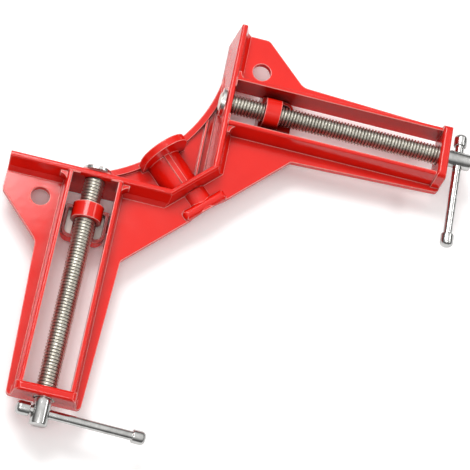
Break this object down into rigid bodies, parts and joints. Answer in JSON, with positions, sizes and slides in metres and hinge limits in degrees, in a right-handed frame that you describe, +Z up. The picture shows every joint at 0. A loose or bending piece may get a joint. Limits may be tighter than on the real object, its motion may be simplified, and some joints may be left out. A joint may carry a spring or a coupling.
{
  "type": "corner clamp",
  "caption": "Die-cast right-angle corner clamp with fences, slotted arms, screw-driven sliding jaws and sliding tommy bars, for holding mitred or butted frame corners square.",
  "frame": {"origin": "corner where the planes of the two fence faces meet, at the level of the fences' lower edges", "axes": "+X out along the left arm's screw, +Y out along the right arm's screw, +Z up from the lower edges of the fences to the screws"},
  "size_m": [0.1754, 0.1754, 0.0228],
  "materials": {
    "red_paint": "gloss enamel on a die casting",
    "screw_steel": "bright zinc, rolled thread",
    "bar_chrome": "bright plated",
    "washer_zinc": "bright zinc"
  },
  "bodies": {
    "frame": {"body": "red_paint", "retaining_washers": "washer_zinc"},
    "left_spindle": {"left_screw": "screw_steel"},
    "right_spindle": {"right_screw": "screw_steel"},
    "left_slider": {"left_jaw": "red_paint"},
    "right_slider": {"right_jaw": "red_paint"},
    "left_handle": {"left_bar": "bar_chrome", "left_bar_near_cap": "bar_chrome", "left_bar_far_cap": "bar_chrome"},
    "right_handle": {"right_bar": "bar_chrome", "right_bar_near_cap": "bar_chrome", "right_bar_far_cap": "bar_chrome"}
  },
  "joints": [
    {"name": "left_screw_spin", "type": "hinge", "parent": "frame", "child": "left_spindle", "pos_m": [0, -0.045, 0.0165], "axis": [1, 0, 0], "range_deg": [-2700, 17280]},
    {"name": "right_screw_spin", "type": "hinge", "parent": "frame", "child": "right_spindle", "pos_m": [-0.045, 0, 0.0165], "axis": [0, 1, 0], "range_deg": [-3330, 16740]},
    {"name": "left_jaw_slide", "type": "slide", "parent": "frame", "child": "left_slider", "axis": [1, 0, 0], "range_m": [-0.00938, 0.06001]},
    {"name": "right_jaw_slide", "type": "slide", "parent": "frame", "child": "right_slider", "axis": [0, 1, 0], "range_m": [-0.01157, 0.05813]},
    {"name": "left_bar_slide", "type": "slide", "parent": "left_spindle", "child": "left_handle", "axis": [0, -0.9945, 0.1045], "range_m": [-0.0004, 0.0306]},
    {"name": "right_bar_slide", "type": "slide", "parent": "right_spindle", "child": "right_handle", "axis": [-0.9994, 0, -0.0349], "range_m": [-0.0022, 0.0288]}
  ],
  "couplings": [
    {"joint": "left_jaw_slide", "follows": "left_screw_spin", "m_per_rad": 0.00019894},
    {"joint": "right_jaw_slide", "follows": "right_screw_spin", "m_per_rad": 0.00019894}
  ]
}
